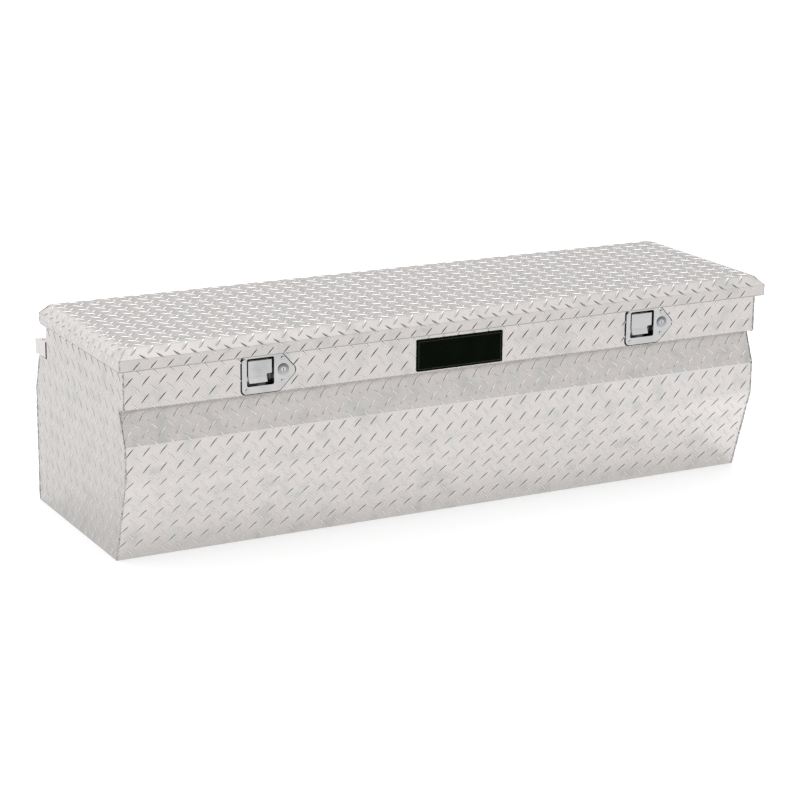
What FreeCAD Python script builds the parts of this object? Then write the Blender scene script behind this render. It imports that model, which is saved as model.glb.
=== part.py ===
"""Chest-type truck tool box of folded aluminium tread plate, closed.

Frame: millimetres, +Z up, +X to the right along the length, the front faces -Y.
The origin is at the middle of the footprint, on the surface that the box stands on.
"""

import FreeCAD, Part
import math
import os

Vector = FreeCAD.Vector

# ---- overall sizes -------------------------------------------------------------------------
tub_length = 1524.0
lid_length = 1552.0
lid_depth = 454.0
box_depth = 524.0
box_height = 458.0
sheet = 2.0
bend_radius = 2.0
over = 1.0
tiny = 1e-6

lid_front = -box_depth / 2
lid_back = lid_front + lid_depth
tub_back = box_depth / 2
half_tub = tub_length / 2
half_inside = half_tub - sheet

# ---- tub cross-section ---------------------------------------------------------------------
upper_front = lid_front + 17.0
middle_front = lid_front + 14.0
waist_front = middle_front + 27.0
floor_front = lid_front + 73.0
upper_bottom = 330.0
waist_height = 325.0
band_bottom = 256.0
crease_height = 188.0
waist_back = tub_back - 25.0
shoulder_height = 333.0
rim_top = 443.5
panel_top = rim_top - sheet
floor_flange = 26.0

# ---- rim and seal --------------------------------------------------------------------------
rim_leg = 27.0
rim_lip = 24.0
rear_rim_back = lid_back - 7.0
rear_rim_front = lid_back - 42.0
seal_width = 12.0
seal_height = 12.0
seal_inset = 14.0
seal_front_gap = 7.0
seal_rear_gap = 18.0
rear_rim_foot = shoulder_height + 12.0
rear_rim_joggle = 6.0

# ---- lid -----------------------------------------------------------------------------------
lid_bevel = 20.0
lid_flange = 24.0
lid_edge_radius = 2.0
lid_bottom = box_height - lid_bevel - lid_flange
lid_underside = box_height - sheet
stiffener_width = 90.0
stiffener_depth = 9.0
stiffener_foot = 18.0
stiffener_slope = 8.0
stiffener_end_gap = 90.0

# ---- hinge ---------------------------------------------------------------------------------
leaf = 1.5
knuckle_radius = 3.3
pin_radius = 1.5
running_clearance = 0.05
hinge_y = lid_back - sheet - leaf + knuckle_radius
hinge_z = lid_bottom - 3.5
rear_wall_top = hinge_z - 3.5
rear_rim_step = hinge_z - 32.0
knuckle_pitch = 38.0
knuckle_count = 39
knuckle_gap = 0.3
knuckle_notch = 0.4
leaf_height = 25.5
hinge_length = knuckle_pitch * knuckle_count
hinge_rivet_count = 20
hinge_rivet_pitch = 76.0
hinge_rivet_offset = 16.0

# ---- rear rail -----------------------------------------------------------------------------
rail_top = 363.0
rail_slope = 9.0
rail_flange = 14.0
rail_lip = 36.0
rail_tab_gap = 8.0
rail_tab_inset = 1.0
rail_tab_corner = 2.0
rail_rivet_count = 11
rail_rivet_pitch = 145.0

# ---- latches -------------------------------------------------------------------------------
latch_x = 462.0
plate = 1.5
gasket = 1.0
gasket_margin = 2.0
plate_bottom = 333.0
plate_top = 411.0
plate_left = 44.0
plate_high_shoulder = 46.0
plate_low_shoulder = 40.0
plate_tip = 80.0
plate_tip_height = 372.5
plate_corner = 10.0
plate_bend = 14.0
plate_tip_radius = 13.0
lock_height = 377.0
lock_offset = 48.5
pan_left = 34.4
pan_right = 29.0
pan_bottom = 347.0
pan_top = 408.0
pan_depth = 20.0
pan_wall = 1.2
pan_corner = 5.0
pan_slot_bottom = 378.0
pan_slot_top = 404.0
pan_slot_half = 5.5
paddle_pin_y = upper_front + 9.5
paddle_pin_z = 399.0
paddle_pin_radius = 2.0
paddle_left = 29.5
paddle_right = 23.0
paddle_bottom = 356.0
paddle_bend = 369.0
paddle_top = 401.0
paddle_face = upper_front - 1.0
paddle_flare = 5.0
paddle_notch = (11.5, 16.5)
paddle_notch_corner = 3.0
paddle_corner = 2.0
paddle_ear_depth = 4.0
paddle_ear_start = 5.0
paddle_ear_drop = 14.0
paddle_hub_radius = 4.5
spring_offset = 8.0
lever_length = 24.0
lever_half_width = 3.0
lever_half_height = 2.0
claw_pin_y = paddle_pin_y + 46.0
claw_pin_z = paddle_pin_z - 4.5
claw_pin_radius = 3.0
claw_half_width = 4.0
claw_arm = 5.0
claw_top = 434.0
claw_nose = 9.0
claw_heel = 8.0
claw_tail_half = 2.0
claw_hook = 6.0
bracket_half = 9.0
bracket_bottom = 352.0
bracket_top = 406.0
bracket_arm_back = claw_pin_y + 8.0
bracket_arm_low = (366.0, 382.0)
bracket_arm_top = 404.0
bracket_arm_radius = 6.0
striker_wire = 3.0
striker_height = 424.0
striker_clearance = 0.5
striker_y = claw_pin_y + claw_nose + striker_clearance + striker_wire
striker_half_width = 14.0
striker_foot = 10.0
striker_base_half = 14.0
striker_ear_half = (12.0, 6.0)
striker_ear_radius = 5.0
latch_rivets = ((47.0, 401.0), (47.0, 352.5), (-32.5, 340.5), (-38.8, 403.5))
rivet_shank = 2.0
rivet_head = 4.2
rivet_head_height = 1.6
rivet_head_round = 1.3
rivet_tail_height = 1.2

# ---- lock ----------------------------------------------------------------------------------
barrel_radius = 9.0
barrel_flange_radius = 12.5
barrel_length = 24.0
barrel_flange = 1.5
plug_radius = 6.0
plug_stand_out = 1.0
keyway_half_width = 0.8
keyway_half_height = 4.0
keyway_depth = 4.0
nut_radius = 11.5
nut_height = 5.0
cam_length = 32.0
cam_thickness = 2.5
cam_half_width = 7.0
cam_head_radius = 6.0
cam_tip_radius = 3.0

# ---- badge ---------------------------------------------------------------------------------
badge_width = 208.0
badge_bottom = 334.0
badge_top = 403.0
badge_thickness = 2.0
badge_corner = 3.0

# ---- gas struts ----------------------------------------------------------------------------
strut_x = 716.0
strut_low = (136.0, 272.0)
strut_high = (38.0, 418.0)
strut_tube_radius = 9.0
strut_bore_radius = 7.5
strut_rod_radius = 4.0
strut_tube_start = 12.0
strut_tube_length = 132.0
socket_radius = 8.0
socket_half_width = 6.5
stud_radius = 4.0
stud_boss_radius = 7.0
bracket_plate = 3.0
strut_foot_half = (20.0, 26.0)
strut_socket_gap = 1.0
strut_neck_radius = 5.0
strut_cap_neck_radius = 6.0
strut_cap_neck_length = 16.0
strut_cap_neck_end = 4.0
strut_end_wall = 3.0
strut_gland_length = 7.0
piston_gap = 5.0
piston_length = 6.0
head_stud_gap = 0.5
head_plate_gap = 5.0
head_plate_half = 16.0
head_plate_drop = 12.0


# ---- helpers -------------------------------------------------------------------------------
def box(x0, x1, y0, y1, z0, z1):
    """Block between two corners."""
    return Part.makeBox(x1 - x0, y1 - y0, z1 - z0, Vector(x0, y0, z0))


def cylinder(x, y, z, axis, radius, length):
    """Round bar that starts at a point and runs along an axis."""
    return Part.makeCylinder(radius, length, Vector(x, y, z), Vector(*axis))


def rounded_wire(corners):
    """Closed wire through corners, each a point and the radius of its arc (0 for a sharp corner)."""
    starts, ends, edges = [], [], []
    count = len(corners)
    for index, (point, radius) in enumerate(corners):
        before = (corners[index - 1][0] - point).normalize()
        after = (corners[(index + 1) % count][0] - point).normalize()
        half_turn = (math.pi - before.getAngle(after)) / 2
        if radius < tiny or half_turn < tiny:
            starts.append(point)
            ends.append(point)
            continue
        reach = radius * math.tan(half_turn)
        start = point + before * reach
        end = point + after * reach
        middle = point + (before + after).normalize() * (radius / math.cos(half_turn) - radius)
        starts.append(start)
        ends.append(end)
        edges.append(Part.Arc(start, middle, end).toShape())
    for index in range(count):
        start, end = ends[index], starts[(index + 1) % count]
        if start.distanceToPoint(end) > tiny:
            edges.append(Part.LineSegment(start, end).toShape())
    return Part.Wire(Part.__sortEdges__(edges))


def prism_x(corners, x0, x1):
    """Outline of (y, z, radius) corners, drawn out along X."""
    wire = rounded_wire([(Vector(x0, y, z), radius) for y, z, radius in corners])
    return Part.Face(wire).extrude(Vector(x1 - x0, 0, 0))


def prism_y(corners, y0, y1):
    """Outline of (x, z, radius) corners, drawn out along Y."""
    wire = rounded_wire([(Vector(x, y0, z), radius) for x, z, radius in corners])
    return Part.Face(wire).extrude(Vector(0, y1 - y0, 0))


def offset_path(path, distance):
    """The path of (y, z) points moved to its left by a distance, with mitred corners."""
    normals = []
    for (y0, z0), (y1, z1) in zip(path, path[1:]):
        length = math.hypot(y1 - y0, z1 - z0)
        normals.append((-(z1 - z0) / length, (y1 - y0) / length))
    moved = []
    for index, (y, z) in enumerate(path):
        before = normals[max(index - 1, 0)]
        after = normals[min(index, len(normals) - 1)]
        scale = distance / (1 + before[0] * after[0] + before[1] * after[1])
        moved.append((y + (before[0] + after[0]) * scale, z + (before[1] + after[1]) * scale))
    return moved


def folded_sheet(path, side, x0, x1):
    """Bent sheet: path is one face, and the metal lies to its left (side 1) or right (side -1)."""
    other = offset_path(path, side * sheet)
    near, far = [], []
    for index, (here, there) in enumerate(zip(path, other)):
        inner_radius, outer_radius = 0.0, 0.0
        if 0 < index < len(path) - 1:
            inner_radius, outer_radius = bend_radius, bend_radius + sheet
        (ay, az), (by, bz) = path[max(index - 1, 0)], path[min(index + 1, len(path) - 1)]
        turn = (here[0] - ay) * (bz - here[1]) - (here[1] - az) * (by - here[0])
        metal_inside_bend = turn * side > 0
        near.append((*here, outer_radius if metal_inside_bend else inner_radius))
        far.append((*there, inner_radius if metal_inside_bend else outer_radius))
    return prism_x(near + far[::-1], x0, x1)


def drill(shape, holes):
    """Shape with every hole cut from it."""
    return shape.cut(Part.makeCompound(holes))


def rivet(x, head_y, z, tail_y):
    """Domed rivet along Y: the head stands on the face at head_y, the tail on the face at tail_y."""
    outward = math.copysign(1.0, head_y - tail_y)
    crown = head_y + outward * rivet_head_height
    head = cylinder(x, head_y, z, (0, outward, 0), rivet_head, rivet_head_height)
    rim = [edge for edge in head.Edges if max(abs(edge.BoundBox.YMin - crown),
                                              abs(edge.BoundBox.YMax - crown)) < rivet_head_height / 2]
    head = head.makeFillet(rivet_head_round, rim)
    shank = cylinder(x, tail_y, z, (0, outward, 0), rivet_shank, abs(head_y - tail_y))
    tail = cylinder(x, tail_y, z, (0, -outward, 0), rivet_shank * 1.5, rivet_tail_height)
    return head.fuse([shank, tail])


def mirrored(shape):
    """Left-hand copy of a right-hand piece."""
    return shape.mirror(Vector(0, 0, 0), Vector(1, 0, 0))


# ---- tub -----------------------------------------------------------------------------------
front_path = [
    (upper_front, panel_top),
    (upper_front, upper_bottom),
    (waist_front, waist_height),
    (middle_front, band_bottom),
    (middle_front, crease_height),
    (floor_front, 0.0),
]
rear_path = [
    (tub_back, 0.0),
    (tub_back, band_bottom),
    (waist_back, shoulder_height),
    (lid_back, shoulder_height),
    (lid_back, rear_wall_top),
]


def latch_cutout(centre):
    """Openings in the front panel for one latch: the pan, the lock barrel and the rivets."""
    depth = (upper_front - over, upper_front + sheet + over)
    pan = box(centre - pan_left, centre + pan_right, *depth, pan_bottom, pan_top)
    lock = cylinder(centre + lock_offset, depth[0], lock_height, (0, 1, 0), barrel_radius,
                    depth[1] - depth[0])
    return [pan, lock] + latch_rivet_holes(centre)


def latch_rivet_holes(centre):
    """Holes for one latch's rivets through plate, gasket and front panel."""
    start = upper_front - gasket - plate - over
    length = gasket + plate + sheet + 2 * over
    return [cylinder(centre + x, start, z, (0, 1, 0), rivet_shank, length)
            for x, z in latch_rivets]


def front_panel():
    """Front sheet: upright, stepped back at the waist, sloped band, upright, slanted to the floor."""
    return drill(folded_sheet(front_path, 1, -half_inside, half_inside),
                 latch_cutout(-latch_x) + latch_cutout(latch_x))


def floor_panel():
    """Floor pan whose front and rear flanges stand up inside the front and rear sheets."""
    crease_y, crease_z = front_path[-2]
    foot_y, foot_z = front_path[-1]
    slant = math.hypot(foot_y - crease_y, foot_z - crease_z)
    along = ((foot_y - crease_y) / slant, (foot_z - crease_z) / slant)
    corner_y = foot_y + sheet / -along[1]
    path = [
        (corner_y - along[0] * floor_flange, -along[1] * floor_flange),
        (corner_y, 0.0),
        (tub_back - sheet, 0.0),
        (tub_back - sheet, floor_flange),
    ]
    return folded_sheet(path, 1, -half_inside, half_inside)


def rear_panel():
    """Rear sheet: upright, stepped in at the waist, then a shoulder and the upper wall."""
    holes = hinge_rivet_holes(hinge_z - hinge_rivet_offset) + rail_rivet_holes()
    return drill(folded_sheet(rear_path, 1, -half_inside, half_inside), holes)


def end_panel(side):
    """End plate with the outline of the tub; side is 1 for the right end."""
    corners = [(y, z, bend_radius + sheet) for y, z in front_path[1:]]
    corners[-1] = (*front_path[-1], 0.0)
    corners += [(*rear_path[0], 0.0)]
    corners += [(y, z, bend_radius + sheet) for y, z in rear_path[1:3]]
    corners += [(*rear_path[3], 0.0), (lid_back, rear_wall_top, 0.0)]
    corners += [(rear_rim_back, rear_wall_top, 0.0), (rear_rim_back, panel_top, 0.0)]
    corners += [(*front_path[0], 0.0)]
    plate_solid = prism_x(corners, half_inside, half_tub)
    return plate_solid if side > 0 else mirrored(plate_solid)


def front_rim():
    """Angle along the top of the front sheet."""
    inside = upper_front + sheet
    leg = box(-half_inside, half_inside, inside, inside + sheet, rim_top - rim_leg, panel_top)
    lip = box(-half_tub, half_tub, upper_front, upper_front + rim_lip, panel_top, rim_top)
    return leg.fuse(lip).removeSplitter()


def rear_rim():
    """Stepped angle that stands in front of the hinge and carries the rear run of the seal."""
    wall = lid_back - sheet
    path = [
        (wall, rear_rim_foot),
        (wall, rear_rim_step - rear_rim_joggle),
        (rear_rim_back, rear_rim_step),
        (rear_rim_back, rim_top),
        (rear_rim_front, rim_top),
    ]
    upright = folded_sheet(path, 1, -half_inside, half_inside)
    ends = box(-half_tub, half_tub, rear_rim_front, rear_rim_back - bend_radius - sheet, panel_top, rim_top)
    return upright.fuse(ends).removeSplitter()


def side_rim(side):
    """Angle along the top of one end plate, between the front and rear rims."""
    start, end = upper_front + rim_lip, rear_rim_front
    leg = box(half_inside - sheet, half_inside, start, end, rim_top - rim_leg, panel_top)
    lip = box(half_tub - rim_lip, half_tub, start, end, panel_top, rim_top)
    angle = leg.fuse(lip).removeSplitter()
    return angle if side > 0 else mirrored(angle)


def weather_seal():
    """Bulb seal that runs round the mouth of the tub on the rims."""
    outer_x = half_tub - seal_inset + seal_width / 2
    front, back = upper_front + seal_front_gap, rear_rim_front + seal_rear_gap
    outer = box(-outer_x, outer_x, front, back, rim_top, rim_top + seal_height)
    upright = [edge for edge in outer.Edges if edge.BoundBox.ZLength > seal_height / 2]
    outer = outer.makeFillet(seal_width, upright)
    crest = [edge for edge in outer.Edges if edge.BoundBox.ZMin > rim_top + seal_height / 2]
    outer = outer.makeFillet(seal_width * 0.4, crest)
    inner = box(-outer_x + seal_width, outer_x - seal_width, front + seal_width, back - seal_width,
                rim_top - over, rim_top + seal_height + over)
    return outer.cut(inner)


def rear_rail():
    """Ledge behind the lid: riveted to the upper wall, sloped to shed water, with a tab on each end."""
    wall = lid_back + sheet
    path = [
        (wall, rail_top + rail_slope + rail_flange),
        (wall, rail_top + rail_slope),
        (tub_back, rail_top),
        (tub_back, shoulder_height),
        (tub_back - rail_lip, shoulder_height),
    ]
    back, top = tub_back - rail_tab_inset, rail_top - rail_tab_inset
    start, low = lid_back + rail_tab_gap, shoulder_height + rail_tab_inset
    tab = [
        (start, low, 0.0),
        (back, low, rail_tab_corner),
        (back, top, rail_tab_corner),
        (start, top + rail_slope * (back - start) / (tub_back - wall), 0.0),
    ]
    tabs = [prism_x(tab, half_inside, half_tub), prism_x(tab, -half_tub, -half_inside)]
    return drill(folded_sheet(path, -1, -half_tub, half_tub).fuse(tabs), rail_rivet_holes())


def rail_rivet_places():
    """Centres of the rivets in the rail's upper flange."""
    first = -rail_rivet_pitch * (rail_rivet_count - 1) / 2
    height = rail_top + rail_slope + (rail_flange + sheet) / 2
    return [(first + index * rail_rivet_pitch, height) for index in range(rail_rivet_count)]


def rail_rivet_holes():
    """Holes for the rail's rivets through the rail and the rear wall."""
    return [cylinder(x, lid_back - sheet - over, z, (0, 1, 0), rivet_shank, 2 * (sheet + over))
            for x, z in rail_rivet_places()]


def rail_rivets():
    """Rivets of the rear rail."""
    return [rivet(x, lid_back + sheet, z, lid_back - sheet) for x, z in rail_rivet_places()]


# ---- hinge ---------------------------------------------------------------------------------
def knuckle_spans(first):
    """X spans of every other knuckle, from the first or the second."""
    start = -hinge_length / 2
    return [(start + index * knuckle_pitch + knuckle_gap / 2,
             start + (index + 1) * knuckle_pitch - knuckle_gap / 2)
            for index in range(first, knuckle_count, 2)]


def hinge_rivet_holes(height):
    """Holes for one leaf's rivets through the leaf and the sheet outside it."""
    start = lid_back - sheet - leaf - over
    length = sheet + leaf + 2 * over
    return [cylinder(x, start, height, (0, 1, 0), rivet_shank, length)
            for x in hinge_rivet_x()]


def hinge_rivet_x():
    """Places of the hinge rivets along the hinge."""
    first = -hinge_rivet_pitch * (hinge_rivet_count - 1) / 2
    return [first + index * hinge_rivet_pitch for index in range(hinge_rivet_count)]


def hinge_leaf(first, up):
    """One leaf of the piano hinge; up is 1 for the leaf that rises into the lid."""
    face = lid_back - sheet - leaf
    z0, z1 = sorted((hinge_z, hinge_z + up * leaf_height))
    shape = box(-hinge_length / 2, hinge_length / 2, face, face + leaf, z0, z1)
    clear = knuckle_radius + knuckle_notch
    others = [box(x0 - knuckle_gap, x1 + knuckle_gap, face - over, face + leaf + over,
                  hinge_z - clear, hinge_z + clear)
              for x0, x1 in knuckle_spans(1 - first)]
    shape = drill(shape, others)
    rolls = [cylinder(x0, hinge_y, hinge_z, (1, 0, 0), knuckle_radius, x1 - x0)
             for x0, x1 in knuckle_spans(first)]
    shape = shape.fuse(rolls)
    bore = cylinder(-hinge_length / 2 - over, hinge_y, hinge_z, (1, 0, 0),
                    pin_radius + running_clearance, hinge_length + 2 * over)
    return drill(shape, [bore] + hinge_rivet_holes(hinge_z + up * hinge_rivet_offset))


def hinge_pin():
    """Full-length hinge pin."""
    return cylinder(-hinge_length / 2, hinge_y, hinge_z, (1, 0, 0), pin_radius, hinge_length)


def hinge_rivets(up):
    """Rivets of one hinge leaf."""
    face = lid_back - sheet - leaf
    return [rivet(x, lid_back, hinge_z + up * hinge_rivet_offset, face) for x in hinge_rivet_x()]


# ---- lid -----------------------------------------------------------------------------------
def lid_shell(inset, height, bevel):
    """Block with bevelled top edges, inset from the outside of the lid."""
    half = lid_length / 2 - inset
    shape = box(-half, half, lid_front + inset, lid_back - inset, lid_bottom, height)
    crest = [edge for edge in shape.Edges if edge.BoundBox.ZMin > height - tiny]
    return shape.makeChamfer(bevel, crest)


def lid_skin():
    """Lid folded from one sheet: flat top, bevel and a flange turned down on every side."""
    inner_bevel = lid_bevel - sheet * (2 - math.sqrt(2))
    outside = lid_shell(0.0, box_height, lid_bevel)
    folds = [edge for edge in outside.Edges if edge.BoundBox.ZMax > lid_bottom + lid_edge_radius]
    outside = outside.makeFillet(lid_edge_radius, folds)
    skin = outside.cut(lid_shell(sheet, lid_underside, inner_bevel))
    return drill(skin, hinge_rivet_holes(hinge_z + hinge_rivet_offset))


def lid_stiffener():
    """Hat channel along the middle of the lid's underside."""
    middle = (lid_front + lid_back) / 2
    half = stiffener_width / 2
    path = [
        (middle - half - stiffener_foot, lid_underside),
        (middle - half, lid_underside),
        (middle - half + stiffener_slope, lid_underside - stiffener_depth),
        (middle + half - stiffener_slope, lid_underside - stiffener_depth),
        (middle + half, lid_underside),
        (middle + half + stiffener_foot, lid_underside),
    ]
    end = lid_length / 2 - stiffener_end_gap
    return folded_sheet(path, -1, -end, end)


# ---- latches -------------------------------------------------------------------------------
def latch_outline(centre, margin):
    """Pointed outline of the latch plate, grown by a margin."""
    left = centre - plate_left - margin
    low, high = plate_bottom - margin, plate_top + margin
    diagonal = margin * math.sqrt(2)
    return [
        (left, low, plate_corner),
        (centre + plate_low_shoulder + diagonal - margin, low, plate_bend),
        (centre + plate_tip + diagonal, plate_tip_height, plate_tip_radius),
        (centre + plate_high_shoulder + diagonal - margin, high, plate_bend),
        (left, high, plate_corner),
    ]


def pan_block(centre, wall, start, end):
    """Rounded block that the pan's outside (wall 0) or inside is made from."""
    left, right = centre - pan_left + wall, centre + pan_right - wall
    low, high = pan_bottom + wall, pan_top - wall
    radius = pan_corner - wall
    corners = [(left, low, radius), (right, low, radius), (right, high, radius), (left, high, radius)]
    return prism_y(corners, start, end)


def latch_dish(centre):
    """Stainless plate with a square pan that holds the paddle."""
    face = upper_front - gasket - plate
    pan_back = upper_front + pan_depth
    dish = prism_y(latch_outline(centre, 0.0), face, face + plate)
    dish = dish.fuse(pan_block(centre, 0.0, face + plate / 2, pan_back))
    dish = dish.cut(pan_block(centre, pan_wall, face - over, pan_back - pan_wall))
    slot = box(centre - pan_slot_half, centre + pan_slot_half, pan_back - pan_wall - over, pan_back + over,
               pan_slot_bottom, pan_slot_top)
    pin_hole = cylinder(centre - pan_left - over, paddle_pin_y, paddle_pin_z, (1, 0, 0),
                        paddle_pin_radius, pan_left + pan_right + 2 * over)
    lock_hole = cylinder(centre + lock_offset, face - over, lock_height, (0, 1, 0), barrel_radius,
                         plate + 2 * over)
    return drill(dish, [slot, pin_hole, lock_hole] + latch_rivet_holes(centre))


def latch_gasket(centre):
    """Rubber gasket between the latch plate and the front panel."""
    sheet_solid = prism_y(latch_outline(centre, gasket_margin), upper_front - gasket, upper_front)
    start = upper_front - gasket - over
    pan = pan_block(centre, 0.0, start, upper_front + over)
    lock_hole = cylinder(centre + lock_offset, start, lock_height, (0, 1, 0), barrel_radius,
                         gasket + 2 * over)
    return drill(sheet_solid, [pan, lock_hole] + latch_rivet_holes(centre))


def latch_rivet_group(centre):
    """Rivets of one latch."""
    face = upper_front - gasket - plate
    return [rivet(centre + x, face, z, upper_front + sheet) for x, z in latch_rivets]


def paddle(centre):
    """Pull paddle: a plate whose lower edge flares out, two ears on the pin, and a lever to the claw."""
    left, right = centre - paddle_left, centre + paddle_right
    step_x, step_z = right - paddle_notch[0], paddle_bottom + paddle_notch[1]
    corners = [
        (left, paddle_bottom, paddle_corner),
        (step_x, paddle_bottom, paddle_corner),
        (step_x, step_z, paddle_notch_corner),
        (right, step_z, paddle_corner),
        (right, paddle_top, paddle_corner / 2),
        (left, paddle_top, paddle_corner / 2),
    ]
    lip = paddle_face - paddle_flare
    profile = [(paddle_face, paddle_top), (paddle_face, paddle_bend), (lip, paddle_bottom)]
    shape = folded_sheet(profile, 1, left, right).common(prism_y(corners, lip - over, paddle_pin_y))
    ear_back, ear_top = paddle_pin_y + paddle_ear_depth, paddle_pin_z + paddle_hub_radius
    ear_bottom = paddle_pin_z - paddle_ear_drop
    ear = [
        (paddle_face, ear_bottom, 0.0),
        (ear_back, ear_bottom, paddle_corner),
        (ear_back, ear_top, paddle_corner),
        (paddle_pin_y - paddle_ear_start, ear_top, 0.0),
        (paddle_face, paddle_top, 0.0),
    ]
    for x in (left, right - sheet):
        shape = shape.fuse(prism_x(ear, x, x + sheet))
    hub = cylinder(centre - lever_half_width, paddle_pin_y, paddle_pin_z, (1, 0, 0), paddle_hub_radius,
                   2 * lever_half_width)
    lever = box(centre - lever_half_width, centre + lever_half_width, paddle_face,
                paddle_pin_y + lever_length, paddle_pin_z - lever_half_height,
                paddle_pin_z + lever_half_height)
    shape = shape.fuse([hub, lever]).removeSplitter()
    bore = cylinder(left - over, paddle_pin_y, paddle_pin_z, (1, 0, 0),
                    paddle_pin_radius + running_clearance, right - left + 2 * over)
    return drill(shape, [bore])


def paddle_pin(centre):
    """Pin that the paddle swings on."""
    return cylinder(centre - pan_left, paddle_pin_y, paddle_pin_z, (1, 0, 0), paddle_pin_radius,
                    pan_left + pan_right)


def paddle_spring(centre):
    """Coil of the torsion spring that returns the paddle, round its pin."""
    wire_radius = 0.5
    turns, pitch, coil_radius = 6, 1.3, 3.2
    path = Part.makeHelix(pitch, turns * pitch, coil_radius)
    section = Part.Wire(Part.makeCircle(wire_radius, Vector(coil_radius, 0, 0), Vector(0, 1, 0)))
    coil = Part.Wire(path).makePipeShell([section], True, True)
    coil.rotate(Vector(0, 0, 0), Vector(0, 1, 0), 90)
    coil.translate(Vector(centre + spring_offset, paddle_pin_y, paddle_pin_z))
    return coil


def latch_bracket(centre):
    """Channel on the back of the pan that carries the claw."""
    back = upper_front + pan_depth
    left, right = centre - bracket_half, centre + bracket_half
    plate_solid = box(left, right, back, back + sheet, bracket_bottom, bracket_top)
    slot = box(centre - pan_slot_half, centre + pan_slot_half, back - over, back + sheet + over,
               pan_slot_bottom, pan_slot_top)
    shape = plate_solid.cut(slot)
    arm = [
        (back, bracket_arm_low[0], 0.0),
        (bracket_arm_back, bracket_arm_low[1], bracket_arm_radius),
        (bracket_arm_back, bracket_arm_top, bracket_arm_radius),
        (back, bracket_top, 0.0),
    ]
    for x in (left, right - sheet):
        shape = shape.fuse(prism_x(arm, x, x + sheet))
    pin_hole = cylinder(left - over, claw_pin_y, claw_pin_z, (1, 0, 0), claw_pin_radius,
                        2 * (bracket_half + over))
    return drill(shape.removeSplitter(), [pin_hole])


def claw(centre):
    """Claw: a hook that rises to the striker and a tail under the paddle's lever."""
    y, z = claw_pin_y, claw_pin_z
    tail = y - lever_length
    front, back, heel = y - claw_arm, y + claw_arm, z - claw_heel
    hook = claw_top - claw_hook
    corners = [
        (tail, z - claw_tail_half, 1.0),
        (front, z - claw_tail_half, 2.0),
        (front, heel, 3.0),
        (back, heel, 3.0),
        (back, hook, 1.0),
        (y + claw_nose, hook, 1.0),
        (front, claw_top, 2.0),
        (front, z + claw_tail_half, 2.0),
        (tail, z + claw_tail_half, 1.0),
    ]
    shape = prism_x(corners, centre - claw_half_width, centre + claw_half_width)
    bore = cylinder(centre - claw_half_width - over, y, z, (1, 0, 0), claw_pin_radius + running_clearance,
                    2 * (claw_half_width + over))
    return drill(shape, [bore])


def claw_pin(centre):
    """Pin that the claw swings on."""
    return cylinder(centre - bracket_half, claw_pin_y, claw_pin_z, (1, 0, 0), claw_pin_radius,
                    2 * bracket_half)


def striker(centre):
    """Bar across two ears under the lid, which the claw hooks."""
    ear_x = striker_half_width
    wide, narrow = striker_ear_half
    tip = striker_height - narrow
    ear = [
        (striker_y - wide, lid_underside, 0.0),
        (striker_y - narrow, tip, striker_ear_radius),
        (striker_y + narrow, tip, striker_ear_radius),
        (striker_y + wide, lid_underside, 0.0),
    ]
    base_x = ear_x + striker_foot
    base = box(centre - base_x, centre + base_x, striker_y - striker_base_half,
               striker_y + striker_base_half, lid_underside - sheet, lid_underside)
    bar = cylinder(centre - ear_x, striker_y, striker_height, (1, 0, 0), striker_wire, 2 * ear_x)
    ears = [prism_x(ear, x, x + sheet) for x in (centre - ear_x, centre + ear_x - sheet)]
    return base.fuse(ears + [bar]).removeSplitter()


# ---- locks ---------------------------------------------------------------------------------
def lock_barrel(centre):
    """Housing of the lock, flanged on the latch plate."""
    face = upper_front - gasket - plate
    x = centre + lock_offset
    flange = cylinder(x, face, lock_height, (0, -1, 0), barrel_flange_radius, barrel_flange)
    body = cylinder(x, face, lock_height, (0, 1, 0), barrel_radius, barrel_length)
    bore = cylinder(x, face - barrel_flange - over, lock_height, (0, 1, 0),
                    plug_radius + running_clearance, barrel_length + barrel_flange + 2 * over)
    return drill(flange.fuse(body), [bore])


def lock_nut(centre):
    """Hexagonal nut that clamps the barrel behind the front panel."""
    x = centre + lock_offset
    start = upper_front + sheet
    corners = [(x + nut_radius * math.cos(math.pi / 3 * turn),
                lock_height + nut_radius * math.sin(math.pi / 3 * turn), 0.0) for turn in range(6)]
    nut = prism_y(corners, start, start + nut_height)
    thread = cylinder(x, start - over, lock_height, (0, 1, 0), barrel_radius, nut_height + 2 * over)
    return drill(nut, [thread])


def lock_plug(centre):
    """Keyed plug that turns in the barrel."""
    face = upper_front - gasket - plate - plug_stand_out
    x = centre + lock_offset
    end = upper_front - gasket - plate + barrel_length
    plug = cylinder(x, face, lock_height, (0, 1, 0), plug_radius, end - face)
    keyway = box(x - keyway_half_width, x + keyway_half_width, face - over, face + keyway_depth,
                 lock_height - keyway_half_height, lock_height + keyway_half_height)
    return plug.cut(keyway)


def lock_cam(centre):
    """Cam on the back of the plug, pointing down when unlocked."""
    x = centre + lock_offset
    start = upper_front - gasket - plate + barrel_length
    left, right = x - cam_half_width, x + cam_half_width
    top, tip = lock_height + cam_half_width, lock_height - cam_length
    corners = [
        (left, top, cam_head_radius),
        (left, tip, cam_tip_radius),
        (right, tip, cam_tip_radius),
        (right, top, cam_head_radius),
    ]
    return prism_y(corners, start, start + cam_thickness)


# ---- badge ---------------------------------------------------------------------------------
def badge_plate():
    """Blank badge between the latches."""
    half = badge_width / 2
    corners = [(-half, badge_bottom, badge_corner), (half, badge_bottom, badge_corner),
               (half, badge_top, badge_corner), (-half, badge_top, badge_corner)]
    return prism_y(corners, upper_front - badge_thickness, upper_front)


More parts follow.
